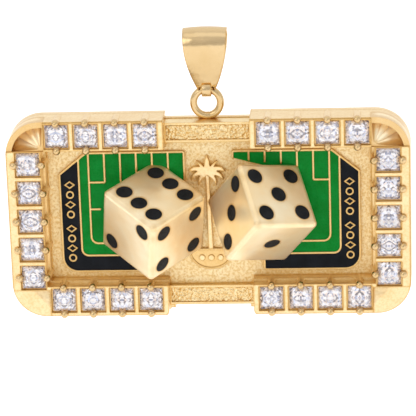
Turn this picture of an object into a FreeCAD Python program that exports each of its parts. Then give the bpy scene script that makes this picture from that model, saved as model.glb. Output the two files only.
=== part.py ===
import FreeCAD, Part
import math
import os

# A gold pendant in the shape of a craps table, hanging from a bail.
#
# Everything on the pendant is first built lying on its back: x runs to the right, y runs
# towards the top edge, and z is the height above the flat back. hang() then stands it up,
# so that the face looks along -Y, and puts the origin on the chain line inside the bail.
# All sizes are in millimetres.

# ---- overall outline ----
body_width = 52.0          # across the two end frames, at the back
body_height = 26.4         # from the lower edge to the upper edge, at the back
corner_radius = 4.6
draft = 0.2                # how far the outer wall leans in on its way to the front
frame_top = 4.6            # height of the end frames' outer rim
back_thickness = 1.0
bed_thickness = 0.9
rail_top = 2.7             # height of the two middle rails

# ---- stones and their cells ----
stone_size = 3.0
stone_girdle = 0.10
stone_crown = 0.38
stone_depth = 1.85
cell_gap = 0.15            # from a stone's edge to its cell wall
cell_wall = 0.48           # thin wall between two cells
cell_rise = 0.3            # cell walls stand above the outer rim by this much
cell_depth = 0.45
cell_margin = 0.1          # from an end cell to the corner piece beside it
cell_inset = 0.1           # the raised cells stand this far inside the rim
row_count = 4
column_count = 5
stone_lift = 0.14          # all the stones sit slightly above the middle
column_drop = 0.25         # and the side columns slightly lower than the rows
prong_radius = 0.5
prong_post = 0.18
prong_setback = 0.3        # from a stone's edge to the middle of its prong
azure_size = 1.5           # square light hole behind each stone

# ---- inner edge of the rails ----
bar_margin = 1.5           # a row's bar is wider than its stones by this much
column_margin = 2.1        # and a side column by this much
column_lip = 0.6           # from a side stone's inner edge to the opening
bar_lip = 0.65             # from a row's last cell to the end of its bar
bar_round = 0.9            # rounded end of the lower bars
tab_length = 0.55          # small step behind the end of the lower bars
tab_width = 1.1
tab_top = 1.7
ledge_width = 0.35
ledge_drop = 1.25
rail_setback = 0.7         # the middle rails lie behind the end frames' outline
rail_width = 2.9
rail_draft = 0.3
band_border = 0.45
band_inner_border = 0.25
band_end = 0.2
band_depth = 0.18

# ---- corner pieces ----
corner_seat = 2.2          # the frame carries on under the corner pieces up to here
corner_rim = 0.75
flute_count = 4
flute_radius = 1.5
flute_slope = 11.0
flute_floor = 0.35         # the flutes stop this far above the seat
apex_inset = 0.35
cap_bevel = 12.0

# ---- enamel fields and wires ----
enamel_rise = 0.30
wire_rise = 0.42
wire_width = 0.24
field_top_margin = 0.6     # bare bed above, below and beside a field
field_low_margin = 0.9
field_side_margin = 1.6
field_chamfer_x = 3.5
field_chamfer_y = 2.8
field_corner = 1.9
band_width = 2.5           # black band beside the green field
strip_width = 2.15         # black strip below it
layout_margin = 1.3        # between the band and the outermost long wire
layout_foot_margin = 1.65
layout_foot_end = 8.3
layout_inner = 3.14        # distance of the innermost upright wire from the middle
layout_columns = 7
layout_reach = 3.9         # length of the short upright wires
side_tick = 1.4            # short level wire beside the left die
side_tick_drop = 3.6
inner_drop = 1.0           # length of the innermost wire
line_corner = 0.9
strip_end = 6.9            # inner end of the black strip

# ---- ornaments in the black bands ----
mark_count = 8
mark_width = 1.45
mark_first_margin = 4.2    # from the field's top to the first mark's middle
mark_last_margin = 1.86    # from the field's bottom to the last mark's middle
mark_gap = 0.6
mark_fill = 0.8            # height of a mark as a share of its pitch
mark_stroke = 0.2

# ---- dice: lengths that go with a die are in shares of its edge ----
left_die_edge = 9.4
right_die_edge = 9.2
die_round = 0.6
left_die_stand = 1.16      # height of a die's nearest corner above the bed
right_die_stand = 1.185
left_die_corner = (-0.686, 0.112)
right_die_corner = (0.722, 0.146)
left_die_turn = (152.3, 35.5, -123.7)
right_die_turn = (111.5, 39.9, -135.0)
pip_share = 0.113          # radius of a pip
pip_depth = 0.35
pip_sunk = 0.04
pip_offset = 0.29          # distance of the outer pips from a face's middle

# ---- palm and cartouche ----
palm_x = -0.2
palm_drop = 3.0            # from the field's top to the crown of the palm
palm_rise = 0.55
trunk_width = 0.62
trunk_flare = 0.2
heart_radius = 0.45
cartouche_width = 5.8
cartouche_height = 2.8
cartouche_margin = 2.9     # from the field's bottom to the cartouche's straight edge
cartouche_rise = 0.2
cartouche_rim = 0.22
cartouche_rim_rise = 0.14
stud_count = 3
stud_radius = 0.4
stud_pitch = 1.2

# ---- hanging ring and bail ----
ring_wire = 0.96
ring_outer = 4.4
ring_height = 1.0          # the ring's plane above the pendant's back
ring_sink = 0.16           # soldered this deep into the upper rail
loop_wall = 0.30
loop_width = 1.2
loop_clearance = 0.06      # between the ring's wire and the loop, and under the bail
bail_top_width = 5.6
bail_foot_width = 2.3
bail_taper = 2.25          # how late the bail's sides draw in
bail_depth = 4.4
bail_length = 8.15         # from the loop's middle to the top of the bail
bail_wall = 0.55
bail_arch = 0.3
bail_neck = 0.85           # radius of the bail's foot, seen from the side
bail_web = 0.35            # solid metal above the foot
bail_slot = 0.3            # radius of the opening's lower end

# ---- sizes that follow from the ones above ----
half_width = body_width / 2
half_height = body_height / 2
bed_top = back_thickness + bed_thickness
cell_size = stone_size + 2 * cell_gap
stone_pitch = cell_size + cell_wall
cell_top = frame_top + cell_rise
above_all = cell_top + 1
girdle_height = cell_top - cell_depth + stone_girdle / 2
wire_top = bed_top + wire_rise
prong_reach = stone_size / 2 + prong_setback

frame_inner_x = half_width - stone_size - column_margin
frame_inner_y = half_height - stone_size - bar_margin + stone_lift
frame_foot_y = half_height - stone_size - bar_margin - stone_lift
column_line = frame_inner_x + column_lip + stone_size / 2
row_top = frame_inner_y + (stone_size + bar_margin) / 2
row_foot = -frame_foot_y - (stone_size + bar_margin) / 2
corner_line = frame_inner_x
row_start = corner_line - cell_margin - cell_size / 2 - (row_count - 1) * stone_pitch
bar_end = row_start - cell_size / 2 - bar_lip
column_middle = stone_lift - column_drop
column_reach = (column_count - 1) / 2 * stone_pitch + cell_size / 2 + cell_margin
column_top = column_middle + column_reach
column_foot = column_middle - column_reach
rail_outer = half_height - rail_setback
rail_inner = rail_outer - rail_width

field_side = frame_inner_x - field_side_margin
field_top = frame_inner_y - field_top_margin
field_bottom = -frame_foot_y + field_low_margin
band_line = field_side - band_width
strip_line = field_bottom + strip_width
layout_line = band_line - layout_margin
layout_foot = strip_line + layout_foot_margin
layout_pitch = (layout_line - layout_inner) / (layout_columns - 1)
layout_end = field_top - layout_reach
mark_line = field_side - band_width / 2
mark_first = field_top - mark_first_margin
mark_last = field_bottom + mark_last_margin
mark_pitch = (mark_first - mark_last - mark_gap) / (mark_count - 1)
mark_height = mark_fill * mark_pitch
palm_y = field_top - palm_drop
cartouche_top = field_bottom + cartouche_margin

ring_mid = (ring_outer - ring_wire) / 2
ring_y = rail_outer + ring_outer / 2 - ring_sink - rail_draft * ring_height / rail_top
loop_y = ring_y + ring_mid
loop_sag = ring_mid - math.sqrt(ring_mid ** 2 - (loop_width / 2) ** 2)
loop_slant = math.asin(loop_width / 2 / ring_mid)
loop_bore = ring_wire / 2 / math.cos(loop_slant) + loop_sag + loop_clearance
loop_radius = loop_bore + loop_wall
chain_y = loop_y + bail_length - bail_depth / 2

X = FreeCAD.Vector(1, 0, 0)
Y = FreeCAD.Vector(0, 1, 0)
Z = FreeCAD.Vector(0, 0, 1)


def at(x, y, z=0.0):
    return FreeCAD.Vector(x, y, z)


def hang(shape):
    """Stand a shape up and put the chain line at the origin."""
    upright = shape.copy()
    upright.rotate(at(0, 0), X, 90)
    upright.translate(at(0, ring_height, -chain_y))
    return upright


def save(name, shape):
    upright = hang(shape)
    upright.exportStep("parts/" + name + ".step")
    print(name, len(upright.Solids), round(upright.Volume, 3))


def block(x0, x1, y0, y1, z0, z1):
    return Part.makeBox(x1 - x0, y1 - y0, z1 - z0, at(x0, y0, z0))


def outline(points):
    corners = [at(x, y) for x, y in points]
    return Part.makePolygon(corners + [corners[0]])


def prism(points, z0, z1):
    flat = Part.Face(outline(points))
    flat.translate(at(0, 0, z0))
    return flat.extrude(at(0, 0, z1 - z0))


def arc_points(centre, radius, start, end, steps=8):
    """Points on an arc, with its angles in degrees."""
    found = []
    for k in range(steps + 1):
        angle = math.radians(start + (end - start) * k / steps)
        found.append((centre[0] + radius * math.cos(angle), centre[1] + radius * math.sin(angle)))
    return found


def as_solid(shape):
    """A single solid by itself, or a group of solids."""
    solids = shape.Solids
    return solids[0] if len(solids) == 1 else Part.makeCompound(solids)


def fuse_all(shapes):
    if len(shapes) == 1:
        return shapes[0]
    return as_solid(shapes[0].multiFuse(shapes[1:]).removeSplitter())


def cut_all(shape, tools):
    return as_solid(shape.cut(list(tools)))


def cut_each(shape, tools):
    """Cut one tool at a time, for thin shapes that share many edges with their tools."""
    for tool in tools:
        shape = cut_all(shape, tool.Solids)
    return shape


def mirrored(shape, side):
    """The piece drawn for the right-hand side (+1), or its twin on the left (-1)."""
    return shape if side > 0 else shape.mirror(at(0, 0), X)


def stroke(points, z0, z1, width=wire_width):
    """A flat wire that follows a line of points."""
    pieces = []
    for (xa, ya), (xb, yb) in zip(points, points[1:]):
        length = math.hypot(xb - xa, yb - ya)
        bar = block(0, length, -width / 2, width / 2, z0, z1)
        bar.rotate(at(0, 0), Z, math.degrees(math.atan2(yb - ya, xb - xa)))
        bar.translate(at(xa, ya))
        pieces.append(bar)
    for x, y in points[1:-1]:
        pieces.append(Part.makeCylinder(width / 2, z1 - z0, at(x, y, z0)))
    return fuse_all(pieces)


def rounded_wire(half_x, half_y, radius, z):
    """A rounded rectangle around the middle of the pendant."""
    x, y, r = half_x, half_y, radius
    s = r * math.sin(math.radians(45))
    parts = []
    for sx, sy in ((1, 1), (-1, 1), (-1, -1), (1, -1)):
        centre = (sx * (x - r), sy * (y - r))
        ends = [at(sx * x, sy * (y - r), z), at(sx * (x - r), sy * y, z)]
        middle = at(centre[0] + sx * s, centre[1] + sy * s, z)
        if sx * sy < 0:
            ends.reverse()
        parts.append((ends[0], middle, ends[1]))
    edges = []
    for k, (start, middle, end) in enumerate(parts):
        edges.append(Part.Arc(start, middle, end).toShape())
        edges.append(Part.makeLine(end, parts[(k + 1) % 4][0]))
    return Part.Wire(edges)


def body_slab(z0, z1, inset=0.0):
    """The pendant's rounded outline between two heights, with its leaning outer wall."""
    wires = []
    for z in (z0, z1):
        lean = draft * z / frame_top + inset
        wires.append(rounded_wire(half_width - lean, half_height - lean, corner_radius - lean, z))
    return Part.makeLoft(wires, True, True)


# ---- stones ----

def shave(solid, azimuth, tilt, point):
    """Cut a flat facet: everything beyond a plane through a point comes off."""
    size = 4 * stone_size
    knife = block(-size, size, -size, size, 0, size)
    knife.rotate(at(0, 0), Y, tilt)
    knife.rotate(at(0, 0), Z, azimuth)
    knife.translate(point)
    return solid.cut(knife)


def princess_cut():
    """A square stone: flat table, sloped crown, and a pointed pavilion with chevron facets."""
    half = stone_size / 2
    stone = block(-half, half, -half, half, -stone_girdle / 2 - stone_depth, stone_girdle / 2 + stone_crown)
    for k in range(4):
        side = 90 * k
        rim = at(half * math.cos(math.radians(side)), half * math.sin(math.radians(side)))
        stone = shave(stone, side, 38, rim + at(0, 0, stone_girdle / 2))
        corner = at(half * math.cos(math.radians(side)) - half * math.sin(math.radians(side)),
                    half * math.sin(math.radians(side)) + half * math.cos(math.radians(side)))
        stone = shave(stone, side + 45, 30, corner * 0.99 + at(0, 0, stone_girdle / 2))
        stone = shave(stone, side, 180 - 62, rim + at(0, 0, -stone_girdle / 2))
        culet = at(0, 0, -stone_girdle / 2 - stone_depth)
        for turn in (-13, 13):
            low_rim = rim * 0.95 + at(0, 0, -stone_girdle / 2 - 0.06 * half)
            stone = shave(stone, side + turn, 180 - 54.5, low_rim)
        for turn in (-30, 30):
            stone = shave(stone, side + turn, 180 - 47, culet + at(0, 0, 0.02))
    return stone


def stone_places():
    """Each stone's name and the middle of its girdle."""
    places = []
    for name, sy in (("top", 1), ("bottom", -1)):
        for side_name, sx in (("left", -1), ("right", 1)):
            for k in range(row_count):
                x = sx * (row_start + k * stone_pitch)
                y = row_top if sy > 0 else row_foot
                places.append(("stone_" + name + "_" + side_name + "_" + str(k + 1), x, y, "row"))
    for side_name, sx in (("left", -1), ("right", 1)):
        for k in range(column_count):
            y = column_middle + ((column_count - 1) / 2 - k) * stone_pitch
            places.append(("stone_side_" + side_name + "_" + str(k + 1), sx * column_line, y, "column"))
    return places


def prong_spots(x, y, kind):
    """The two places where beads hold a stone: above and below, or left and right."""
    if kind == "row":
        return [(x, y + prong_reach), (x, y - prong_reach)]
    return [(x + prong_reach, y), (x - prong_reach, y)]


def bead(x, y):
    """The rounded end of a prong, pushed down over a stone's edge."""
    post = Part.makeCylinder(prong_radius, prong_post, at(x, y, cell_top))
    tip = Part.makeSphere(prong_radius, at(x, y, cell_top + prong_post))
    below = block(x - 1, x + 1, y - 1, y + 1, cell_top - 1, cell_top)
    return post.fuse(tip).cut(below).removeSplitter()


# ---- end frames ----

def opening(grow, z0):
    """The space inside the rails, wider by a ledge's width where asked."""
    x = frame_inner_x + grow
    return block(-x, x, -frame_foot_y - grow, frame_inner_y + grow, z0, above_all)


def cell_zone(side):
    """The C-shaped strip that the cells stand on, for one end of the pendant."""
    top = block(bar_end, corner_line, frame_inner_y, half_height + 1, 0, above_all)
    low = block(bar_end, corner_line, -half_height - 1, -frame_foot_y, 0, above_all)
    post = block(frame_inner_x, half_width + 1, column_foot, column_top, 0, above_all)
    return mirrored(fuse_all([top, low, post]), side)


def corner_zone(side, sy):
    """The space of one corner piece: beyond the last stone of the row and of the column."""
    line = column_top if sy > 0 else -column_foot
    low, high = sorted((sy * line, sy * body_height))
    left, right = sorted((side * corner_line, side * body_width))
    return block(left, right, low, high, corner_seat, above_all)


def rounded_bar_end(side):
    """What comes off the lower bar's inner end to round its outer corner."""
    edge = half_height
    square = block(bar_end - 1, bar_end + bar_round, -edge - 1, -edge + bar_round, tab_top, above_all)
    column = Part.makeCylinder(bar_round, above_all, at(bar_end + bar_round, -edge + bar_round, 0))
    return mirrored(square.cut(column), side)


def lower_tab(side):
    """A small step that carries on behind the rounded end of the lower bar."""
    x0 = bar_end - tab_length
    y0 = -rail_outer - tab_width + rail_setback
    tab = block(x0, bar_end, y0, -rail_outer, back_thickness, tab_top)
    return mirrored(tab, side)


def frame_body(side):
    """An end frame before its cells are cut: the wall, its stepped ledge and the raised strip."""
    slab = body_slab(back_thickness, frame_top)
    middle = block(-bar_end, bar_end, -body_height, body_height, 0, above_all)
    other_left, other_right = sorted((0, -side * body_width))
    other = block(other_left, other_right, -body_height, body_height, 0, above_all)
    base = cut_all(slab, [opening(0, 0), middle, other, opening(ledge_width, frame_top - ledge_drop)])
    raised = as_solid(body_slab(frame_top - 0.02, cell_top, cell_inset).common(cell_zone(side)))
    raised = cut_all(raised, [opening(ledge_width, 0)])
    frame = fuse_all([base, raised])
    return cut_all(frame, [corner_zone(side, 1), corner_zone(side, -1), rounded_bar_end(side)])


def end_frame(side, places, stone):
    """One raised C-shaped frame with its cells, prong posts and stone seats."""
    half = cell_size / 2
    hole = azure_size / 2
    pockets = []
    posts = [lower_tab(side)]
    seats = []
    for name, x, y, kind in places:
        if x * side < 0:
            continue
        pockets.append(block(x - half, x + half, y - half, y + half, cell_top - cell_depth, above_all))
        for px, py in prong_spots(x, y, kind):
            posts.append(Part.makeCylinder(prong_radius, cell_top - bed_top, at(px, py, bed_top)))
        seat = stone.copy()
        seat.translate(at(x, y, girdle_height))
        seats.append(seat)
        seats.append(block(x - hole, x + hole, y - hole, y + hole, 0, girdle_height - 0.4 * stone_depth))
    frame = cut_all(frame_body(side), pockets)
    frame = fuse_all([frame] + posts)
    return cut_all(frame, seats)


def corner_block(side, sy):
    """The solid that fills one rounded corner of an end frame."""
    return body_slab(back_thickness, frame_top).common(corner_zone(side, sy))


def flute(side, share, apex):
    """One groove of the fan: a cone that opens from the apex towards the rim."""
    reach = 2 * corner_radius
    cone = Part.makeCone(0.05, 2 * flute_radius, reach)
    cone.rotate(at(0, 0), Y, 90 + flute_slope)
    cone.rotate(at(0, 0), Z, 90 * share if side > 0 else 180 - 90 * share)
    cone.translate(apex)
    return cone


def scooped_corner(side):
    """An upper corner: a raised rim around a fan of polished flutes."""
    apex = at(side * (corner_line + apex_inset), column_top + apex_inset, frame_top + 0.15)
    flutes = [flute(side, (k + 0.5) / flute_count, apex) for k in range(flute_count)]
    inner = body_slab(corner_seat, frame_top + 0.5, corner_rim)
    scoop = fuse_all(flutes).common(inner)
    floor = block(-body_width, body_width, -body_height, body_height, corner_seat, corner_seat + flute_floor)
    return corner_block(side, 1).cut(scoop.cut(floor))


def cap_corner(side):
    """A lower corner: a flat polished cap with a bevelled inner edge."""
    knife = block(-6, 6, -6, 6, 0, 3)
    knife.rotate(at(0, 0), X, -cap_bevel)
    knife.rotate(at(0, 0), Z, side * 45)
    knife.translate(at(side * (corner_line + 1.2), column_foot - 1.2, frame_top))
    return corner_block(side, -1).cut(knife)


# ---- middle rails ----

def middle_rail(sy):
    """The lower rail between the end frames, with a sunk band for the hammered texture."""
    wires = []
    for z in (back_thickness, rail_top):
        lean = rail_draft * z / rail_top
        y0, y1 = sorted((sy * rail_inner, sy * (rail_outer - lean)))
        corners = [at(-bar_end, y0, z), at(bar_end, y0, z), at(bar_end, y1, z), at(-bar_end, y1, z)]
        wires.append(Part.makePolygon(corners + [corners[0]]))
    rail = Part.makeLoft(wires, True, True)
    y0, y1 = sorted((sy * (rail_inner + band_inner_border), sy * (rail_outer - rail_draft - band_border)))
    x = bar_end - band_end
    band = block(-x, x, y0, y1, rail_top - band_depth, rail_top + 1)
    return rail.cut(band)


# ---- back and bed ----

def back_plate(places):
    """The flat back, with a square light hole behind each stone."""
    trims = []
    for sy in (1, -1):
        x = bar_end if sy > 0 else bar_end - tab_length
        y0, y1 = sorted((sy * rail_outer, sy * body_height))
        trims.append(block(-x, x, y0, y1, -1, back_thickness + 1))
    half = azure_size / 2
    for name, x, y, kind in places:
        trims.append(block(x - half, x + half, y - half, y + half, -1, back_thickness + 1))
    return cut_all(body_slab(0, back_thickness), trims)


def table_bed():
    """The sandblasted floor that fills the space inside the rails."""
    x, y0, y1 = frame_inner_x, -frame_foot_y, frame_inner_y
    wide = block(-x, x, y0, y1, back_thickness, bed_top)
    tall = block(-bar_end, bar_end, -rail_inner, rail_inner, back_thickness, bed_top)
    return fuse_all([wide, tall])


# ---- enamel and wires, drawn for the right-hand side ----

def field_points():
    """Outline of one enamel field with its chamfer and rounded lower corner."""
    side, top, low = field_side, field_top, field_bottom
    points = [(side - field_chamfer_x, top), (side, top - field_chamfer_y)]
    points += arc_points((side - field_corner, low + field_corner), field_corner, 0, -90)
    points.append((strip_end, low))
    return points


def band_points():
    """Line between the black band and the green field, from the chamfer to the strip's end."""
    start = field_top - field_chamfer_y * (band_line - field_side + field_chamfer_x) / field_chamfer_x
    points = [(band_line, start)]
    points += arc_points((band_line - line_corner, strip_line + line_corner), line_corner, 0, -90)
    points.append((strip_end, strip_line))
    return points


def layout_points():
    """The long inner line of the green field."""
    points = [(layout_line, field_top)]
    points += arc_points((layout_line - line_corner, layout_foot + line_corner), line_corner, 0, -90)
    points.append((layout_foot_end, layout_foot))
    return points


def upright_wires(side):
    """The short upright wires of the layout. Those near the right die are cut off above it."""
    lines = []
    for k in range(1, layout_columns):
        x = layout_line - k * layout_pitch
        end = layout_end if k < 3 or side < 0 else field_top - inner_drop - 0.25 * (layout_columns - 1 - k)
        lines.append([(x, field_top), (x, end)])
    return lines


def field_wires(side):
    """All the thin gold wires of one field, soldered on the bed as one piece."""
    lines = [[(layout_inner, field_top)] + field_points(), band_points(), layout_points()]
    lines += upright_wires(side)
    lines.append([(layout_line, layout_end), (layout_line - layout_pitch, layout_end)])
    lines.append([(strip_end, field_bottom), (strip_end, strip_line)])
    if side < 0:
        tick = layout_end - side_tick_drop
        lines.append([(layout_line, tick), (layout_line - side_tick, tick)])
    return fuse_all([stroke(line, bed_top, wire_top) for line in lines])


def enamel_pool(points):
    """Enamel that fills the space inside a closed line of wires."""
    pool = Part.Face(outline(points)).makeOffset2D(-wire_width / 2, 2)
    pool.translate(at(0, 0, bed_top))
    return as_solid(pool.extrude(at(0, 0, enamel_rise)))


def green_field(side, wires):
    points = [(layout_inner, field_top), (field_side - field_chamfer_x, field_top)] + band_points()
    if side > 0:
        points += [(strip_end, field_top - 2 * inner_drop), (layout_inner, field_top - inner_drop)]
    else:
        points += [(strip_end, 0), (layout_inner, layout_end)]
    return cut_each(enamel_pool(points), [wires])


def black_field(marks):
    points = field_points()[1:] + list(reversed(band_points()))
    return cut_each(enamel_pool(points), [marks])


def diamond(width, height, z0, z1):
    return prism([(width / 2, 0), (0, height / 2), (-width / 2, 0), (0, -height / 2)], z0, z1)


def band_mark(k):
    """One plain outlined shape: a diamond or a ring, in turn."""
    if k % 2 == 0:
        shrink = 1 - 2 * mark_stroke / mark_height
        inner = diamond(mark_width * shrink, mark_height * shrink, bed_top, wire_top)
        return diamond(mark_width, mark_height, bed_top, wire_top).cut(inner)
    middle = at(0, 0, bed_top)
    inner = Part.makeCylinder(mark_height / 2 - mark_stroke, wire_rise, middle)
    return Part.makeCylinder(mark_height / 2, wire_rise, middle).cut(inner)


def band_marks():
    """Two groups of outlined shapes down the black band."""
    pieces = []
    for k in range(mark_count):
        y = mark_first - k * mark_pitch - (mark_gap if k >= mark_count / 2 else 0)
        mark = band_mark(k)
        mark.translate(at(mark_line, y))
        pieces.append(mark)
    return Part.makeCompound(pieces)


# ---- dice ----

def place_die(shape, die):
    """Turn a shape drawn in a die's own axes and put the die's nearest corner in place."""
    edge, corner, stand, turn, counts = die
    placed = shape.copy()
    middle = at(corner[0] * edge, corner[1] * edge, bed_top + stand * edge)
    placed.Placement = FreeCAD.Placement(middle, FreeCAD.Rotation(*turn))
    return placed


def pip_spots(count):
    """Pip positions on a face, from its middle, in die edges."""
    d = pip_offset
    patterns = {
        1: [(0, 0)],
        2: [(-d, -d), (d, d)],
        3: [(d, -d), (0, 0), (-d, d)],
        4: [(-d, -d), (-d, d), (d, -d), (d, d)],
        5: [(-d, -d), (-d, d), (0, 0), (d, -d), (d, d)],
        6: [(-d, -d), (0, -d), (d, -d), (-d, d), (0, d), (d, d)],
    }
    return patterns[count]


def die_face_discs(die, sunk, extra=0.0):
    """Discs for the three faces at the nearest corner: first-second, first-third, second-third."""
    edge, corner, stand, turn, counts = die
    discs = []
    faces = ((0, 1, 2), (0, 2, 1), (1, 2, 0))
    for count, (u_axis, v_axis, w_axis) in zip(counts, faces):
        aim = [0, 0, 0]
        aim[w_axis] = 1
        for u, v in pip_spots(count):
            spot = [0, 0, 0]
            spot[u_axis] = (0.5 + u) * edge
            spot[v_axis] = (0.5 + v) * edge
            spot[w_axis] = sunk - extra
            length = pip_depth - sunk + extra
            discs.append(Part.makeCylinder(pip_share * edge, length, at(*spot), at(*aim)))
    return discs


def under_bed():
    return block(-body_width, body_width, -body_height, body_height, -2 * body_height, bed_top)


def die_cube(die):
    """A cube with rounded edges, hollowed for its pips and cut flat where it sits on the bed."""
    edge = die[0]
    cube = Part.makeBox(edge, edge, edge)
    cube = cube.makeFillet(die_round, cube.Edges)
    cube = cut_all(cube, die_face_discs(die, 0.0, 0.5))
    return cut_all(place_die(cube, die), [under_bed()])


def die_pips(die):
    discs = [place_die(disc, die) for disc in die_face_discs(die, pip_sunk)]
    return as_solid(Part.makeCompound(discs).cut([under_bed()]))


# ---- palm and cartouche ----

def leaf(tip, bow, width):
    """A pointed leaf that bends from the crown to its tip."""
    left = []
    right = []
    steps = 8
    for k in range(steps + 1):
        t = k / steps
        x = 2 * t * (1 - t) * bow[0] + t * t * tip[0]
        y = 2 * t * (1 - t) * bow[1] + t * t * tip[1]
        dx = 2 * (1 - 2 * t) * bow[0] + 2 * t * tip[0]
        dy = 2 * (1 - 2 * t) * bow[1] + 2 * t * tip[1]
        size = math.hypot(dx, dy)
        belly = 4 * t * (1 - t)
        stem = 0.35 if t < 0.5 else 0.04
        half = width / 2 * (stem + 0.6 * belly)
        left.append((palm_x + x - dy / size * half, palm_y + y + dx / size * half))
        right.append((palm_x + x + dy / size * half, palm_y + y - dx / size * half))
    return prism(left + list(reversed(right)), bed_top, bed_top + palm_rise)


def palm_tree(dice):
    """A crown of leaves on a thin trunk that runs down between the dice."""
    pieces = [leaf((0, 2.5), (0.05, 1.2), 1.05)]
    for sx in (-1, 1):
        pieces.append(leaf((sx * 1.35, 1.8), (sx * 0.5, 1.0), 0.6))
        pieces.append(leaf((sx * 2.35, 0.35), (sx * 1.4, 1.35), 0.85))
        pieces.append(leaf((sx * 2.1, -0.8), (sx * 1.4, 0.65), 0.8))
        pieces.append(leaf((sx * 1.15, -1.5), (sx * 0.95, 0.0), 0.7))
    top = palm_y + 0.4
    w = trunk_width / 2
    low_left = (palm_x - w + trunk_flare, cartouche_top)
    low_right = (palm_x + w + trunk_flare, cartouche_top)
    trunk_top = bed_top + palm_rise - 0.1
    high_left, high_right = (palm_x - w * 0.7, top), (palm_x + w * 0.7, top)
    pieces.append(prism([high_left, high_right, low_right, low_left], bed_top, trunk_top))
    pieces.append(Part.makeCylinder(heart_radius, palm_rise - 0.1, at(palm_x, palm_y, bed_top)))
    return cut_all(fuse_all(pieces), dice)


def half_oval(width, height, z0, z1, inset=0.0):
    a = width / 2 - inset
    b = height - inset
    points = []
    for k in range(33):
        angle = math.radians(-180 * k / 32)
        points.append((a * math.cos(angle), cartouche_top - b * abs(math.sin(angle)) ** 0.9))
    points[0] = (a, cartouche_top - inset)
    points[-1] = (-a, cartouche_top - inset)
    return prism(points, z0, z1)


def cartouche(dice):
    """A half-oval plaque with a raised rim and a row of small round studs."""
    floor = bed_top + cartouche_rise
    rim = floor + cartouche_rim_rise
    plate = half_oval(cartouche_width, cartouche_height, bed_top, rim)
    well = half_oval(cartouche_width, cartouche_height, floor, bed_top + 1, cartouche_rim)
    pieces = [plate.cut(well)]
    for k in range(stud_count):
        x = (k - (stud_count - 1) / 2) * stud_pitch
        spot = at(x, cartouche_top - cartouche_height * 0.45, bed_top)
        pieces.append(Part.makeCylinder(stud_radius, rim - bed_top, spot))
    return cut_all(fuse_all(pieces), dice)


# ---- ring, loop and bail ----

def hanging_ring(neighbours):
    """A plain wire ring, soldered into the top of the upper rail."""
    ring = Part.makeTorus(ring_mid, ring_wire / 2, at(0, ring_y, ring_height), Z)
    return cut_all(ring, neighbours)


def bail_loop():
    """The round end of the strap that goes around the ring's wire."""
    start = at(-loop_width / 2, loop_y, ring_height)
    outer = Part.makeCylinder(loop_radius, loop_width, start, X)
    inner = Part.makeCylinder(loop_bore, loop_width, start, X)
    return outer.cut(inner)


def strap_profile(big, small, y_low, width):
    """Two circles joined by straight sides, as a solid as wide as the bail."""
    y_high = chain_y
    span = y_high - y_low
    lean = math.asin((big - small) / span)
    points = []
    for k in range(49):
        angle = -lean + (math.pi + 2 * lean) * k / 48
        points.append((big * math.cos(angle), y_high + big * math.sin(angle)))
    for k in range(25):
        angle = math.pi + lean + (math.pi - 2 * lean) * k / 24
        points.append((small * math.cos(angle), y_low + small * math.sin(angle)))
    corners = [at(-width / 2, y, ring_height + z) for z, y in points]
    return Part.Face(Part.makePolygon(corners + [corners[0]])).extrude(at(width, 0, 0))


def bail_front(top, neck):
    """The bail's outline from the front: an arched top and sides that draw in late."""
    wide = bail_top_width / 2
    narrow = bail_foot_width / 2
    arch = []
    for k in range(17):
        x = wide - 2 * wide * k / 16
        arch.append((x, top - bail_arch * (x / wide) ** 2))
    sides = []
    for k in range(1, 13):
        t = k / 12
        y = top - bail_arch + (neck - top + bail_arch) * t
        sides.append((wide + (narrow - wide) * t ** bail_taper, y))
    left_side = [(-x, y) for x, y in sides]
    return prism(arch + left_side + list(reversed(sides)), ring_height - bail_depth, ring_height + bail_depth)


def bail_shell():
    """A tapered strap bent into a loop: the chain passes through it from side to side."""
    foot = loop_y + loop_radius * 0.8
    width = bail_top_width + 1
    outer = strap_profile(bail_depth / 2, bail_neck, foot, width)
    inner = strap_profile(bail_depth / 2 - bail_wall, bail_slot, foot + bail_neck + bail_web, width)
    front = bail_front(chain_y + bail_depth / 2, loop_y)
    reach = bail_top_width
    gap = Part.makeCylinder(loop_radius + loop_clearance, 2 * reach, at(-reach, loop_y, ring_height), X)
    below = block(-reach, reach, loop_y - reach, loop_y, ring_height - reach, ring_height + reach)
    return outer.cut(inner).common(front).cut(gap).cut(below).removeSplitter()


# ---- build everything ----

os.makedirs("parts", exist_ok=True)
places = stone_places()
stone = princess_cut()

back = back_plate(places)
top_rail = middle_rail(1)
left_frame = end_frame(-1, places, stone)
right_frame = end_frame(1, places, stone)
save("back_plate", back)
save("table_bed", table_bed())
save("left_end_frame", left_frame)
save("right_end_frame", right_frame)
save("top_mid_rail", top_rail)
save("bottom_mid_rail", middle_rail(-1))
save("left_scooped_corner", scooped_corner(-1))
save("right_scooped_corner", scooped_corner(1))
save("left_corner_cap", cap_corner(-1))
save("right_corner_cap", cap_corner(1))

for name, x, y, kind in places:
    jewel = stone.copy()
    jewel.translate(at(x, y, girdle_height))
    save(name, jewel)

for group in ("top_left", "top_right", "bottom_left", "bottom_right", "side_left", "side_right"):
    members = [place[1:] for place in places if place[0].startswith("stone_" + group)]
    beads = [bead(px, py) for member in members for px, py in prong_spots(*member)]
    save("prongs_" + group, Part.makeCompound(beads))

left_die = (left_die_edge, left_die_corner, left_die_stand, left_die_turn, (6, 2, 4))
right_die = (right_die_edge, right_die_corner, right_die_stand, right_die_turn, (5, 3, 1))
dice = [die_cube(left_die), die_cube(right_die)]
save("left_die", dice[0])
save("right_die", dice[1])
save("left_die_pips", die_pips(left_die))
save("right_die_pips", die_pips(right_die))

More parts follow.
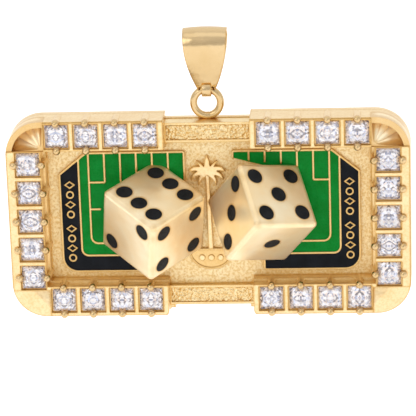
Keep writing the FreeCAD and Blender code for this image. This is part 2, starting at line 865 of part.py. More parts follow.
for side_name, side in (("left", -1), ("right", 1)):
    wires = field_wires(side)
    marks = band_marks()
    save("layout_wires_" + side_name, cut_each(mirrored(wires, side), dice))
    save("band_marks_" + side_name, mirrored(marks, side))
    save("green_enamel_" + side_name, cut_each(mirrored(green_field(side, wires), side), dice))
    save("black_enamel_" + side_name, cut_each(mirrored(black_field(marks), side), dice))

save("palm_tree", palm_tree(dice))
save("cartouche", cartouche(dice))
save("hanging_ring", hanging_ring([back, top_rail, left_frame, right_frame]))
save("bail_loop", bail_loop())
save("bail_shell", bail_shell())

print("below the chain line: loop", round(chain_y - loop_y, 3), "ring", round(chain_y - ring_y, 3))
print("body centre", round(chain_y, 3))
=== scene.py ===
# %% [markdown]
# # A gold pendant shaped as a craps table
#
# The pendant hangs from a tapered bail. Its shape is already there as exact solids, one for
# each piece. This lesson gives every piece its finish, and models again the pieces that a
# plain solid can't show: the cut stones, the worked bands on the middle rails, the bail, and
# the sleeve and ring below it.

# %% Load the solids
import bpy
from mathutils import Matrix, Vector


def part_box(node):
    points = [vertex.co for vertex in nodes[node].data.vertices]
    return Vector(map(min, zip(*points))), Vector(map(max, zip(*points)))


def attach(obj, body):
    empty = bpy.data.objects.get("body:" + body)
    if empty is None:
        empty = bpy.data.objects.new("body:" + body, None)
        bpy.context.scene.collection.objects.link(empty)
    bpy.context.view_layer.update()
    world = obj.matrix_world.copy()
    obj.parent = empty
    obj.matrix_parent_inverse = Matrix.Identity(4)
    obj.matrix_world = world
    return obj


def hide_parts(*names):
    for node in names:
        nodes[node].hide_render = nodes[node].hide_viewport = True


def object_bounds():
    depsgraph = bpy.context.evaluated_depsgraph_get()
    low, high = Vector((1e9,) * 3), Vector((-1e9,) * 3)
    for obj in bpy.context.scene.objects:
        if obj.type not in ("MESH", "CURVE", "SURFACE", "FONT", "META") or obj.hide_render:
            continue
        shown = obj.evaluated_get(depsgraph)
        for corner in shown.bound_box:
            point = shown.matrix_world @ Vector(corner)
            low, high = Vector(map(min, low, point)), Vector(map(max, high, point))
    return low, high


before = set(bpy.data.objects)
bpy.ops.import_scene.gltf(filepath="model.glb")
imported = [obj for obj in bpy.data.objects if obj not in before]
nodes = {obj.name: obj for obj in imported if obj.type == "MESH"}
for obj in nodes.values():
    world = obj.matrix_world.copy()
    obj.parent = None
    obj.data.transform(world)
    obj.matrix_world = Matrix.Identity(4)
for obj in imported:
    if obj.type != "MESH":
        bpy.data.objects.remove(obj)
import bpy
import bmesh
import math
import random
from mathutils import Matrix, Vector

MM = 0.001
cad_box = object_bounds()
print("pieces:", len(nodes), "box in mm:", [tuple(round(c / MM, 2) for c in corner) for corner in cad_box])


def node_box(name):
    """Lowest and highest corner of a piece."""
    low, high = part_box(name)
    return Vector(low), Vector(high)

# %% [markdown]
# ## Writing shaders as sums
#
# A finish is a small piece of arithmetic: a little noise times a depth, plus another noise.
# Wiring that by hand takes many nodes and hides the idea. One small class wraps a socket, so
# that plus and times add the Math nodes, and one method adds any other node.

# %% A socket that can be added and multiplied
def feed(tree, place, value):
    """Link a socket to an input, or set the input's own value."""
    if isinstance(value, Wave):
        tree.links.new(value.socket, place)
    else:
        place.default_value = value


class Wave:
    """A number that changes over the surface: one output socket of a node tree."""

    def __init__(self, tree, socket):
        self.tree = tree
        self.socket = socket

    def math(self, operation, first, second):
        node = self.tree.nodes.new("ShaderNodeMath")
        node.operation = operation
        feed(self.tree, node.inputs[0], first)
        feed(self.tree, node.inputs[1], second)
        return Wave(self.tree, node.outputs[0])

    def __add__(self, other):
        return self.math("ADD", self, other)

    def __radd__(self, other):
        return self.math("ADD", other, self)

    def __sub__(self, other):
        return self.math("SUBTRACT", self, other)

    def __mul__(self, other):
        return self.math("MULTIPLY", self, other)

    def __rmul__(self, other):
        return self.math("MULTIPLY", other, self)


# %% A node tree to fill in
class Board:
    """A node tree, with a short way to add a node to it."""

    def __init__(self, tree):
        self.tree = tree

    def node(self, kind, settings, inputs, output=0):
        """Add a node: its settings first, then its sockets. Gives the output asked for."""
        node = self.tree.nodes.new(kind)
        stops = settings.pop("stops", None)
        for key, value in settings.items():
            setattr(node, key, value)
        if stops:
            ramp = node.color_ramp
            while len(ramp.elements) < len(stops):
                ramp.elements.new(0.5)
            for stop, (position, shade) in zip(ramp.elements, stops):
                stop.position = position
                stop.color = shade
        for key, value in inputs.items():
            feed(self.tree, node.inputs[key], value)
        return Wave(self.tree, node.outputs[output])

    def ramp(self, value, stops):
        return self.node("ShaderNodeValToRGB", {"stops": stops}, {"Fac": value})


# %% A material to fill in
class Finish(Board):
    """A material with one Principled shader, and the patterns that finishes are made of."""

    def __init__(self, name):
        self.material = bpy.data.materials.new(name)
        self.material.use_nodes = True
        super().__init__(self.material.node_tree)
        self.shader = self.tree.nodes["Principled BSDF"]
        self.where = self.node("ShaderNodeTexCoord", {}, {}, "Object")

    def noise(self, size, detail=3.0, roughness=0.55, shift=0.0):
        """Soft noise from 0 to 1, whose lumps are about this many metres across."""
        place = self.where
        if shift:
            away = (shift, 0.7 * shift, -shift)
            place = self.node("ShaderNodeMapping", {}, {"Vector": place, "Location": away})
        inputs = {"Vector": place, "Scale": 1 / size, "Detail": detail, "Roughness": roughness}
        return self.node("ShaderNodeTexNoise", {}, inputs)

    def grains(self, size):
        """Distance to the nearest grain, from 0 in its middle to about 1 at its border."""
        return self.node("ShaderNodeTexVoronoi", {}, {"Vector": self.where, "Scale": 1 / size})

    def openness(self, distance, inside=False):
        """How open the surroundings are, from 0 to 1; from inside, how far the nearest edge is."""
        settings = {"samples": 6, "inside": inside}
        return self.node("ShaderNodeAmbientOcclusion", settings, {"Distance": distance}, "AO")

    def blend(self, factor, first, second):
        """A colour between two colours."""
        node = self.tree.nodes.new("ShaderNodeMix")
        node.data_type = "RGBA"
        feed(self.tree, node.inputs[0], factor)
        feed(self.tree, node.inputs[6], first)
        feed(self.tree, node.inputs[7], second)
        return Wave(self.tree, node.outputs[2])

    def bump(self, height, depth, under=None):
        """A bump as deep as this many metres where the height is 1, on top of another normal."""
        inputs = {"Height": height, "Distance": depth, "Strength": 1.0}
        if under is not None:
            inputs["Normal"] = under
        return self.node("ShaderNodeBump", {}, inputs)

    def worn_edges(self, radius):
        """A normal that rounds every sharp edge by this radius."""
        return self.node("ShaderNodeBevel", {"samples": 4}, {"Radius": radius})

    def set(self, **values):
        for key, value in values.items():
            feed(self.tree, self.shader.inputs[key.replace("_", " ")], value)


def tint(red, green, blue):
    return (red, green, blue, 1.0)


def grey(level):
    return tint(level, level, level)


BLACK, WHITE = grey(0.0), grey(1.0)


print("shader helpers ready")

# %% [markdown]
# ## Yellow gold
#
# The pendant is cast in yellow gold and then finished in five ways. The bail, its ring and the
# prongs are polished, but a hand-polished casting is never flat, so its reflections wander.
# The dice and the fans in the corners have a pale satin skin. The frames between the stones
# stay as cast. The bed is blasted with sand. The bands on the middle rails are worked with a
# small punch. One function makes them all: a metal with a slow wave that bends reflections, a
# fine grain that breaks them up, and a slight colour drift. Amber is painted into the colour as
# shade in the crevices, along the edges and in the low spots of the grain.

# %% Gold finishes
# Painted shade colour: the amber that crevices, edges and the grain's low spots are darkened with.
AMBER_SHADE = tint(0.68, 0.40, 0.11)


def gold(name, shade, deep, shine, wave, grain, edge, crevice, mirror=1.0, pit_shade=0.0, outline=0.25):
    """Yellow gold between two colours. Shine is the roughness, and sizes are in mm.

    Wave and grain are each a width and a depth. Edge is the radius of the worn edges, crevice
    how far painted amber shade reaches out of a crevice, and outline how far painted amber shade
    lines reach in from an edge. Mirror is the share of the light that is mirrored; a satin skin
    scatters the rest. The pit share is how much painted amber shade the low spots of the grain get.
    """
    finish = Finish(name)
    slow = finish.noise(wave[0] * MM, detail=2.0)
    fine = finish.noise(grain[0] * MM, detail=4.0, roughness=0.7, shift=0.013)
    drift = finish.noise(2.3 * wave[0] * MM, detail=5.0, roughness=0.6, shift=0.041)
    skin = finish.blend(finish.ramp(drift, [(0.35, BLACK), (0.65, WHITE)]), deep, shade)
    # Painted shade in crevices: ambient occlusion blends the colour to amber where the surroundings close in.
    crevice_shade_mask = finish.ramp(finish.openness(crevice * MM), [(0.30, BLACK), (0.80, WHITE)])
    # Painted shade along every edge: occlusion traced from inside draws amber lines near the edges.
    edge_shade_mask = finish.ramp(finish.openness(outline * MM, inside=True), [(0.66, grey(0.25)), (0.82, WHITE)])
    # Painted shade in the grain's pits: its low spots blend towards amber.
    pit_shade_mask = finish.ramp(fine, [(0.40, WHITE), (0.56, BLACK)])
    bent = finish.bump(slow, wave[1] * MM, finish.worn_edges(edge * MM))
    finish.set(
        # Base colour: painted amber shade in crevices and along edges, over a skin with painted amber shade
        # in the grain's low spots.
        Base_Color=finish.blend(crevice_shade_mask * edge_shade_mask, AMBER_SHADE, finish.blend(pit_shade * pit_shade_mask, skin, AMBER_SHADE)),
        Metallic=mirror,
        Roughness=shine + 0.07 * fine + 0.05 * drift,
        Normal=finish.bump(fine, grain[1] * MM, bent),
    )
    return finish.material


gold_polished = gold("gold_polished", tint(0.72, 0.53, 0.29), tint(0.66, 0.46, 0.22), 0.16,
                     wave=(2.2, 0.09), grain=(0.30, 0.0015), edge=0.12, crevice=0.40)
gold_satin = gold("gold_satin", tint(1.0, 0.87, 0.61), tint(0.98, 0.75, 0.42), 0.25,
                  wave=(3.0, 0.08), grain=(0.35, 0.0015), edge=0.03, crevice=0.25, mirror=0.65, outline=0.90)
gold_cast = gold("gold_cast", tint(0.93, 0.74, 0.44), tint(0.87, 0.65, 0.35), 0.25,
                 wave=(0.9, 0.055), grain=(0.30, 0.010), edge=0.16, crevice=0.45, pit_shade=0.30)
gold_sandblasted = gold("gold_sandblasted", tint(0.95, 0.79, 0.49), tint(0.91, 0.70, 0.38), 0.38,
                        wave=(0.6, 0.02), grain=(0.34, 0.10), edge=0.05, crevice=0.7, pit_shade=0.65)
gold_punched = gold("gold_punched", tint(0.93, 0.75, 0.44), tint(0.86, 0.66, 0.35), 0.28,
                    wave=(0.5, 0.02), grain=(0.12, 0.012), edge=0.05, crevice=0.25)
gold_finishes = (gold_polished, gold_satin, gold_cast, gold_sandblasted, gold_punched)
print("gold finishes:", [finish.name for finish in gold_finishes])

# %% [markdown]
# ## Enamel
#
# The table's layout is filled with hard enamel, green for the cloth and black for the bands.
# Fired enamel is a glass with colour all through it. It is smooth, a little deeper where it
# lies thicker, and it has a few pinholes from the firing. The spots of the dice are black
# enamel too, but they aren't ground flat, so they stay lumpy.

# %% Enamel finishes
def enamel(name, shade, light, shine, lump, lump_depth):
    """Enamel between two colours. Lump and its depth are in mm, and shine is the roughness."""
    finish = Finish(name)
    pools = finish.noise(1.6 * MM, detail=3.0)
    lumps = finish.noise(lump * MM, detail=3.0, shift=0.02)
    holes = finish.ramp(finish.grains(0.9 * MM), [(0.045, BLACK), (0.075, WHITE)])
    uneven = finish.bump(lumps, lump_depth * MM, finish.bump(pools, 0.03 * MM))
    finish.set(
        Base_Color=finish.blend(finish.ramp(pools, [(0.3, BLACK), (0.7, WHITE)]), shade, light),
        Roughness=shine + 0.12 * lumps,
        Specular_IOR_Level=0.07,
        Normal=finish.bump(holes, 0.02 * MM, uneven),
    )
    return finish.material


green_enamel = enamel("green_enamel", tint(0.001, 0.19, 0.016), tint(0.003, 0.25, 0.032), 0.22,
                      lump=0.25, lump_depth=0.003)
black_enamel = enamel("black_enamel", tint(0.006, 0.007, 0.009), tint(0.012, 0.014, 0.019), 0.25,
                      lump=0.25, lump_depth=0.003)
spot_enamel = enamel("spot_enamel", tint(0.008, 0.009, 0.010), tint(0.022, 0.023, 0.026), 0.28,
                     lump=0.22, lump_depth=0.06)
print("enamel finishes:", green_enamel.name, black_enamel.name, spot_enamel.name)

# %% [markdown]
# ## Which piece gets which finish
#
# The names of the pieces say what they are, so the finishes are handed out by name.

# %% Hand out the finishes
def finish_for(name):
    if name.startswith("green_"):
        return green_enamel
    if name.startswith("black_"):
        return black_enamel
    if name.endswith("_pips"):
        return spot_enamel
    if name == "table_bed":
        return gold_sandblasted
    if name.endswith("_die") or name.endswith("_corner"):
        return gold_satin
    if name.startswith("prongs_"):
        return gold_polished
    return gold_cast


for name, piece in nodes.items():
    piece.data.materials.clear()
    piece.data.materials.append(finish_for(name))
print("finished", len(nodes), "pieces")

# %% [markdown]
# ## Handling pieces
#
# Small helpers do what a hand does at the bench: pick something up and put everything else
# down, fix a piece's size and place into its mesh, select parts of it by where they are, use a
# tool on it, and round the shading of a finished piece.

# %% Bench helpers
def only(piece):
    """Put everything down and pick up one piece."""
    bpy.ops.object.select_all(action="DESELECT")
    piece.select_set(True)
    bpy.context.view_layer.objects.active = piece


def fresh():
    """Nothing selected, ready for a new primitive."""
    bpy.ops.object.select_all(action="DESELECT")


def named(name, size=(1, 1, 1)):
    """Name the new primitive, size it and put its place into its mesh."""
    piece = bpy.context.object
    piece.name = name
    piece.data.name = name
    piece.scale = size
    only(piece)
    bpy.ops.object.transform_apply(location=True, rotation=True, scale=True)
    return piece


def edit(piece):
    """Open a piece's mesh with nothing selected."""
    only(piece)
    bpy.ops.object.mode_set(mode="EDIT")
    bpy.ops.mesh.select_all(action="DESELECT")


def done():
    """Close the mesh that is open."""
    bpy.ops.object.mode_set(mode="OBJECT")


def pick(piece, kind, test):
    """In edit mode, select only the verts, edges or faces that pass a test."""
    bpy.ops.mesh.select_mode(type={"verts": "VERT", "edges": "EDGE", "faces": "FACE"}[kind])
    bpy.ops.mesh.select_all(action="DESELECT")
    shape = bmesh.from_edit_mesh(piece.data)
    for part in getattr(shape, kind):
        if test(part):
            part.select_set(True)
    shape.select_flush_mode()
    bmesh.update_edit_mesh(piece.data)


def add_modifier(piece, kind, **settings):
    """Add a modifier, set it and apply it."""
    only(piece)
    modifier = piece.modifiers.new(kind.lower(), kind)
    for key, value in settings.items():
        setattr(modifier, key, value)
    bpy.ops.object.modifier_apply(modifier=modifier.name)


def smooth(piece, degrees):
    """Shade smoothly across every edge that bends less than this."""
    only(piece)
    bpy.ops.object.shade_smooth_by_angle(angle=math.radians(degrees))


def outward(piece):
    """Join what touches, and turn every face outwards."""
    edit(piece)
    bpy.ops.mesh.select_all(action="SELECT")
    bpy.ops.mesh.remove_doubles(threshold=1e-7)
    bpy.ops.mesh.normals_make_consistent(inside=False)
    done()


def hand_over(piece, material, body, slot, *replaced):
    """Give a new piece its finish and its body, and hide the solids that it stands for."""
    if material is not None:
        piece.data.materials.clear()
        piece.data.materials.append(material)
    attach(piece, body)
    if replaced:
        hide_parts(*replaced)
    print(piece.name, "rides on", body, "with", len(piece.data.polygons), "faces")

# %% [markdown]
# ## A princess-cut stone
#
# The stones are square and brilliant: a flat table, a sloped crown, and below the girdle a
# pavilion of narrow chevrons that meet in a point. A cutter starts from a block and grinds
# one flat after another, so the stone is made the same way: a cube, and one bisect for each
# flat. Real light bounces many times inside such a stone and comes back as a kaleidoscope of
# white, grey, lilac and peach flashes, the same in every quarter. Tracing that takes
# thousands of rays, so the crown carries the kaleidoscope itself: a cell pattern on the
# stone's own flat map, folded over both middles, where every cell has its own shade and its
# own tilt.

# %% The stone's two finishes
def kaleidoscope():
    """The crown: mirrored cells over the stone's flat map, which runs from -1 to 1."""
    finish = Finish("stone_crown")
    flat = finish.node("ShaderNodeUVMap", {"uv_map": "crown"}, {})
    sideways = finish.node("ShaderNodeSeparateXYZ", {}, {"Vector": flat}, "X")
    upright = Wave(finish.tree, sideways.socket.node.outputs["Y"])
    fold_x = finish.node("ShaderNodeMath", {"operation": "ABSOLUTE"}, {0: sideways})
    fold_z = finish.node("ShaderNodeMath", {"operation": "ABSOLUTE"}, {0: upright})
    place = finish.noise(14 * MM, detail=0.0)
    skewed = {"X": fold_x + 0.35 * fold_z, "Y": fold_z + 0.35 * fold_x, "Z": 2.5 * place}
    folded = finish.node("ShaderNodeCombineXYZ", {}, skewed)
    cells = finish.node("ShaderNodeTexVoronoi", {}, {"Vector": folded, "Scale": 7.5}, "Color")
    chance = finish.node("ShaderNodeSeparateColor", {}, {"Color": cells}, "Red")
    other = Wave(finish.tree, chance.socket.node.outputs["Green"])
    flash = finish.ramp(chance, [(0.0, tint(0.30, 0.30, 0.34)), (0.22, tint(0.55, 0.54, 0.58)),
                                 (0.45, tint(0.84, 0.83, 0.86)), (1.0, WHITE)])
    fire = finish.ramp(other, [(0.0, tint(0.70, 0.78, 1.0)), (0.25, tint(0.93, 0.92, 1.0)),
                               (0.55, tint(1.0, 0.99, 0.98)), (0.80, tint(1.0, 0.93, 0.90)),
                               (1.0, tint(1.0, 0.82, 0.72))])
    multiply = {"data_type": "RGBA", "blend_type": "MULTIPLY"}
    shade = finish.node("ShaderNodeMix", multiply, {0: 1.0, 6: flash, 7: fire}, 2)
    tilt = (chance - 0.5) * fold_x + (other - 0.5) * fold_z
    finish.set(Base_Color=shade, Roughness=0.05 + 0.05 * other, IOR=2.1, Metallic=0.35,
               Normal=finish.bump(tilt, 0.9 * MM))
    return finish.material


def silver_facets():
    """The back facets: silvery, with a faint play of colours."""
    finish = Finish("stone_facets")
    fire = finish.noise(0.42 * MM, detail=3.0, roughness=0.7)
    finish.set(
        Base_Color=finish.ramp(fire, [(0.28, tint(0.42, 0.50, 0.72)), (0.40, tint(0.90, 0.90, 0.95)),
                                      (0.50, tint(0.98, 0.96, 0.97)), (0.57, tint(0.70, 0.64, 0.74)),
                                      (0.64, tint(0.97, 0.93, 0.93)), (0.76, tint(1.0, 0.80, 0.70))]),
        Metallic=0.8,
        Roughness=0.08 + 0.10 * finish.noise(0.4 * MM),
    )
    return finish.material


stone_crown = kaleidoscope()
stone_facets = silver_facets()

# %% Grind one stone
stone_low, stone_high = node_box("stone_top_left_1")
stone_half = (stone_high.x - stone_low.x) / 2
stone_deep = stone_high.y - stone_low.y
table_rise = stone_deep * 0.185
girdle_half = 0.05 * MM
table_slope, table_corner_slope, skirt_slope = 38, 31, 64
chevrons = ((9, 57), (19, 53), (29, 48), (39, 44))
culet = stone_deep - table_rise


def grind(turn, slope, reach, depth):
    """One flat: turned about the stone's middle, sloping by this angle, through this point.

    A positive slope belongs to the crown and a negative one to the pavilion.
    """
    side = math.radians(turn)
    lean = math.radians(slope)
    facing = Vector((math.cos(side) * math.sin(abs(lean)), -math.copysign(math.cos(lean), lean),
                     math.sin(side) * math.sin(abs(lean))))
    point = Vector((math.cos(side) * reach, depth, math.sin(side) * reach))
    bpy.ops.mesh.select_all(action="SELECT")
    bpy.ops.mesh.bisect(plane_co=point, plane_no=facing, use_fill=True, clear_outer=True)


def corner_reach(turn):
    """How far out a flat with this turn lies when it runs through the stone's corner."""
    return stone_half * (math.cos(math.radians(turn)) + math.sin(math.radians(abs(turn))))


fresh()
bpy.ops.mesh.primitive_cube_add(size=1, location=(0, (culet - table_rise) / 2, 0))
stone = named("stone_master", (2 * stone_half, stone_deep, 2 * stone_half))
edit(stone)
for side in (0, 90, 180, 270):
    grind(side, table_slope, stone_half, -girdle_half)
    grind(side + 45, table_corner_slope, 0.985 * corner_reach(45), -girdle_half)
    grind(side, -skirt_slope, stone_half, girdle_half)
    for turn, slope in chevrons:
        grind(side + turn, -slope, corner_reach(turn), girdle_half)
        grind(side - turn, -slope, corner_reach(turn), girdle_half)
done()
stone.data.materials.append(stone_crown)
stone.data.materials.append(stone_facets)
crown_map = stone.data.uv_layers.new(name="crown")
for face in stone.data.polygons:
    face.material_index = 1 if face.normal.y > 0.05 else 0
    for corner in face.loop_indices:
        point = stone.data.vertices[stone.data.loops[corner].vertex_index].co
        crown_map.data[corner].uv = (point.x / stone_half, point.z / stone_half)
print("stone:", round(2 * stone_half / MM, 2), "mm square,", len(stone.data.polygons), "flats")

# %% [markdown]
# ## Setting the stones
#
# Each of the 26 stones is a copy of the first one, with a mesh of its own. No stone sits
# perfectly level in its seat, so each is tilted by up to two degrees, and no two flash alike.

# %% Copy the stone to every seat
random.seed(7)
most_tilt = 0.035
stone_names = sorted(name for name in nodes if name.startswith("stone_"))
for name in stone_names:
    low, high = node_box(name)
    seat = Vector(((low.x + high.x) / 2, low.y + table_rise, (low.z + high.z) / 2))
    jewel = stone.copy()
    jewel.data = stone.data.copy()
    jewel.name = jewel.data.name = name.replace("stone_", "cut_stone_")
    bpy.context.collection.objects.link(jewel)
    forward = Matrix.Rotation(random.uniform(-most_tilt, most_tilt), 4, "X")
    sideways = Matrix.Rotation(random.uniform(-most_tilt, most_tilt), 4, "Z")
    quarter = Matrix.Rotation(random.choice((0, 1, 2, 3)) * math.pi / 2, 4, "Y")
    jewel.data.transform(Matrix.Translation(seat) @ forward @ sideways @ quarter)
    hand_over(jewel, None, "pendant", "stone", name)
bpy.data.objects.remove(stone)

# %% [markdown]
# ## The worked bands
#
# Each middle rail is a plain bar with a sunk band across its front, and the band is covered
# in small punch marks. A bump in the material would look flat from the side, so the marks are
# real: the band is a fine grid, and a Displace modifier with a cell texture pushes it up and
# down. The rail grows out of the grid's own border: up to the level of the rim, out to the
# edge, and back to the plate.

# %% One rail from a grid
punch = bpy.data.textures.new("punch_marks", "VORONOI")
punch.noise_scale = 0.30 * MM
punch.distance_metric = "DISTANCE"


def worked_rail(node, outer_up):
    """A middle rail. outer_up is 1 if the pendant's outline lies above the rail, else -1."""
    low, high = node_box(node)
    size = high - low
    border, end_border, sunk = 0.32 * MM, 0.20 * MM, 0.18 * MM
    lean = 0.2 * MM
    band = Vector((size.x - 2 * end_border, 0, size.z - 2 * border - lean))
    middle = Vector(((low.x + high.x) / 2, low.y + sunk, (low.z + high.z - outer_up * lean) / 2))
    fresh()
    bpy.ops.mesh.primitive_grid_add(x_subdivisions=170, y_subdivisions=36, size=1, location=middle,
                                    rotation=(math.pi / 2, 0, 0))
    rail = named("worked_" + node, (band.x, band.z, 1))
    inside = rail.vertex_groups.new(name="band")
    rim_margin = 0.02 * MM
    edge_x, edge_z = band.x / 2 - rim_margin, band.z / 2 - rim_margin
    for vert in rail.data.vertices:
        if abs(vert.co.x - middle.x) < edge_x and abs(vert.co.z - middle.z) < edge_z:
            inside.add([vert.index], 1.0, "REPLACE")
    edit(rail)
    pick(rail, "edges", lambda edge: edge.is_boundary)
    bpy.ops.mesh.extrude_region_move(TRANSFORM_OT_translate={"value": (0, -sunk, 0)})
    rim = (size.x / band.x, 1, (size.z - lean) / band.z)
    bpy.ops.mesh.extrude_region_move()
    bpy.ops.transform.resize(value=rim, center_override=middle)
    bpy.ops.mesh.extrude_region_move(TRANSFORM_OT_translate={"value": (0, size.y, 0)})
    bpy.ops.mesh.fill()
    back = high.y - 1e-6
    pick(rail, "verts", lambda vert: vert.co.y > back and outer_up * (vert.co.z - middle.z) > band.z / 2)
    bpy.ops.transform.translate(value=(0, 0, outer_up * lean))
    done()
    add_modifier(rail, "DISPLACE", texture=punch, texture_coords="LOCAL", vertex_group="band",
                 strength=0.30 * MM, mid_level=0.40, direction="NORMAL")
    rail.vertex_groups.clear()
    outward(rail)
    smooth(rail, 40)
    hand_over(rail, gold_punched, "pendant", "gold_hammered", node)


worked_rail("top_mid_rail", 1)
worked_rail("bottom_mid_rail", -1)

# %% [markdown]
# ## The bail
#
# The bail is one strap of gold, folded over so that a chain can pass through it. Seen from
# the side it is a drop, round at the top and pinched at the foot. Seen from the front it is a
# tulip. It is modelled as an open tube: the drop first, then its width at each height, then a
# wall, and last the soft edges that polishing leaves. The foot is cut around the small loop
# that it turns on.

# %% Measures of the bail
bail_low, bail_high = node_box("bail_shell")
loop_low, loop_high = node_box("bail_loop")
loop_middle = (loop_low + loop_high) / 2
loop_radius = (loop_high.y - loop_low.y) / 2
bail_round = (bail_high.y - bail_low.y) / 2
bail_wide = (bail_high.x - bail_low.x) / 2
bail_narrow = 1.15 * MM
bail_foot = 0.85 * MM
bail_wall = 0.50 * MM
bail_dome = 0.16 * MM
foot_z = loop_middle.z + 0.8 * loop_radius
print("bail:", round(2 * bail_wide / MM, 2), "mm wide,", round((bail_high.z - bail_low.z) / MM, 2), "mm tall")


# %% Fold the strap
def fold_drop():
    """An open tube along X whose section is the drop."""
    fresh()
    bpy.ops.mesh.primitive_cylinder_add(vertices=96, radius=bail_round, depth=2 * bail_wide,
                                        end_fill_type="NOTHING", rotation=(0, math.pi / 2, 0))
    bail = named("folded_bail")
    for vert in bail.data.vertices:
        if vert.co.z < 0:
            down = -vert.co.z / bail_round
            vert.co.z = foot_z * down ** 1.15 - bail_foot * down ** 3
            vert.co.y *= 1 - down ** 2.2 * (1 - bail_foot / bail_round)
    edit(bail)
    pick(bail, "edges", lambda edge: abs(edge.verts[0].co.x - edge.verts[1].co.x) > bail_wide)
    bpy.ops.mesh.subdivide(number_cuts=11)
    done()
    return bail


def shape_bail(bail):
    """Draw the sides in towards the foot, and dome the strap slightly across its width."""
    top = bail_high.z
    for vert in bail.data.vertices:
        across = vert.co.x / bail_wide
        down = min(1.0, max(0.0, (top - vert.co.z) / (top - loop_middle.z)))
        half = bail_wide + (bail_narrow - bail_wide) * down ** 2.25
        vert.co.x = across * half
        dome = bail_dome * across ** 2 * (1 - 0.5 * down)
        inwards = Vector((0, vert.co.y, max(vert.co.z, 0.0)))
        if inwards.length > 0:
            vert.co -= inwards.normalized() * dome


bail = fold_drop()
shape_bail(bail)
outward(bail)
top_face = max(bail.data.polygons, key=lambda face: face.center.z)
if top_face.normal.z < 0:
    bail.data.flip_normals()
add_modifier(bail, "SOLIDIFY", thickness=bail_wall, offset=-1.0, use_even_offset=True)
add_modifier(bail, "BEVEL", width=0.11 * MM, segments=3, limit_method="ANGLE", angle_limit=math.radians(50))

# %% Cut the foot around the loop
fresh()
play = 0.06 * MM
bpy.ops.mesh.primitive_cylinder_add(vertices=96, radius=loop_radius + play, depth=6 * MM,
                                    location=loop_middle, rotation=(0, math.pi / 2, 0))
saddle = named("saddle_cutter")
add_modifier(bail, "BOOLEAN", operation="DIFFERENCE", solver="EXACT", object=saddle)
bpy.data.objects.remove(saddle)
edit(bail)
bpy.ops.mesh.select_all(action="SELECT")
bpy.ops.mesh.bisect(plane_co=loop_middle, plane_no=(0, 0, -1), use_fill=True, clear_outer=True)
done()
smooth(bail, 32)
hand_over(bail, gold_polished, "bail", "gold_polished", "bail_shell")

# %% [markdown]
# ## The loop and the ring
#
# A short round sleeve hangs under the bail, and the ring passes through it. The ring is bent
# from round wire and soldered to the rail, so near its foot it has a seam and the wire is
# swollen by solder.

# %% Turn the loop
fresh()
bpy.ops.mesh.primitive_cylinder_add(vertices=64, radius=loop_radius, depth=loop_high.x - loop_low.x,
                                    end_fill_type="NOTHING", location=loop_middle,
                                    rotation=(0, math.pi / 2, 0))
loop = named("bail_sleeve")
add_modifier(loop, "SOLIDIFY", thickness=0.30 * MM, offset=-1.0)
add_modifier(loop, "BEVEL", width=0.08 * MM, segments=3, limit_method="ANGLE", angle_limit=math.radians(50))
smooth(loop, 32)
hand_over(loop, gold_polished, "loop", "gold_polished", "bail_loop")

# %% Bend the ring
ring_low, ring_high = node_box("hanging_ring")
ring_radius = (ring_high.x - ring_low.x) / 2
wire_radius = (ring_high.y - ring_low.y) / 2
ring_middle = Vector((0, (ring_low.y + ring_high.y) / 2, ring_high.z - ring_radius))
fresh()
bpy.ops.mesh.primitive_torus_add(major_segments=96, minor_segments=32,
                                 major_radius=ring_radius - wire_radius, minor_radius=wire_radius,
                                 location=ring_middle, rotation=(math.pi / 2, 0, 0))
ring = named("wire_ring")
for vert in ring.data.vertices:
    offset = vert.co - ring_middle
    around = math.degrees(math.atan2(offset.x, -offset.z))
    spine = Vector((offset.x, 0, offset.z)).normalized() * (ring_radius - wire_radius)
    seam = 0.12 * math.exp(-((around - 14) / 2.2) ** 2)
    swell = 0.05 * math.exp(-((around - 3) / 16) ** 2)
    vert.co = ring_middle + spine + (offset - spine) * (1 + swell - seam)
smooth(ring, 60)
hand_over(ring, gold_polished, "pendant", "gold_polished", "hanging_ring")

# %% [markdown]
# ## The studio
#
# Polished metal shows only what it mirrors, so the room is part of the finish. The pendant
# hangs in a white tent that is brightest behind it and a little darker in front and below,
# over a floor of pale paper. The darker front draws the edges and keeps the enamel deep.
# Three weak soft boxes add the highlights.

# %% The white tent
low, high = (Vector(corner) for corner in cad_box)
front, zenith = (0.03, -0.985, -0.17), (0.0, 0.0, 1.0)
world = bpy.data.worlds.new("white_tent")
bpy.context.scene.world = world
world.use_nodes = True
tent = Board(world.node_tree)
ray = tent.node("ShaderNodeTexCoord", {}, {}, "Generated")
towards = tent.node("ShaderNodeVectorMath", {"operation": "DOT_PRODUCT"}, {0: ray, 1: front}, "Value")
above = tent.node("ShaderNodeVectorMath", {"operation": "DOT_PRODUCT"}, {0: ray, 1: zenith}, "Value")
opening = tent.ramp(towards * 0.5 + 0.5, [(0.0, grey(1.15)), (0.25, grey(1.15)), (0.45, grey(0.90)),
                                          (0.80, grey(0.86)), (1.0, grey(0.70))])
below = tent.ramp(above * 0.5 + 0.5, [(0.0, grey(0.80)), (0.45, WHITE)])
light = tent.node("ShaderNodeVectorMath", {"operation": "MULTIPLY"}, {0: opening, 1: below})
background = world.node_tree.nodes["Background"]
feed(world.node_tree, background.inputs["Color"], light)
background.inputs["Strength"].default_value = 0.92

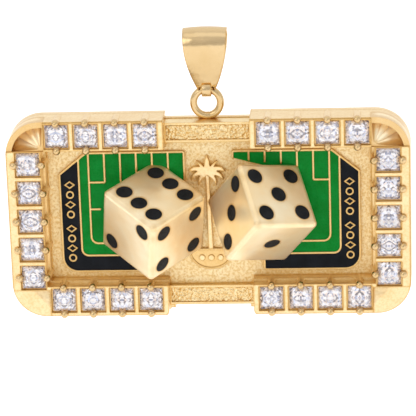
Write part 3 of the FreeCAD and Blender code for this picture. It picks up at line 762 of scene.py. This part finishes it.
# %% The floor
fresh()
bpy.ops.mesh.primitive_plane_add(size=3.0, location=(0, 0, low.z - 12 * MM))
floor = named("floor")
paper = Finish("pale_paper")
paper.set(Base_Color=paper.blend(paper.noise(0.02), grey(0.94), grey(0.97)), Roughness=0.9,
          Emission_Color=WHITE, Emission_Strength=0.40)
floor.data.materials.append(paper.material)


# %% Soft boxes
def softbox(name, place, size, power):
    """A square lamp of this many watts that looks at the middle of the pendant."""
    bpy.ops.object.light_add(type="AREA", location=place)
    lamp = bpy.context.object
    lamp.name = name
    lamp.data.shape = "RECTANGLE"
    lamp.data.size, lamp.data.size_y = size
    lamp.data.energy = power
    lamp.rotation_mode = "QUATERNION"
    lamp.rotation_quaternion = ((low + high) / 2 - Vector(place)).to_track_quat("-Z", "Y")


softbox("key_light", (-0.20, -0.30, 0.20), (0.22, 0.22), 0.20)
softbox("fill_light", (0.28, -0.24, 0.02), (0.16, 0.22), 0.06)
softbox("top_light", (0.0, -0.10, 0.35), (0.30, 0.20), 0.08)
bpy.context.scene.view_settings.view_transform = "Standard"
print("room ready")

# %% [markdown]
# ## The camera
#
# A long lens looks from a little above and a touch to the right. It is rolled slightly, so
# that the pendant leans as it lay.

# %% Camera
azimuth, elevation, roll = math.radians(4.0), math.radians(16.0), math.radians(1.85)
distance, seen_width, sensor_width = 303 * MM, 54.1 * MM, 36.0
away = Vector((-math.sin(azimuth) * math.cos(elevation), math.cos(azimuth) * math.cos(elevation),
               -math.sin(elevation)))
across = Vector((math.cos(azimuth), math.sin(azimuth), 0))
upward = across.cross(away)
right = across * math.cos(roll) - upward * math.sin(roll)
top = across * math.sin(roll) + upward * math.cos(roll)
back_low, back_high = node_box("back_plate")
target = Vector((0, back_high.y, (back_low.z + back_high.z) / 2))
bpy.ops.object.camera_add()
camera = bpy.context.object
aim = Matrix((right, top, -away)).transposed().to_4x4()
camera.matrix_world = Matrix.Translation(target - away * distance) @ aim
camera.data.sensor_width = sensor_width
camera.data.lens = sensor_width * distance / seen_width
camera.data.shift_x = -0.0072
camera.data.shift_y = 0.001
camera.data.clip_start = 0.01
bpy.context.scene.camera = camera
print("camera at", [round(c, 3) for c in camera.location], "lens", round(camera.data.lens, 1))
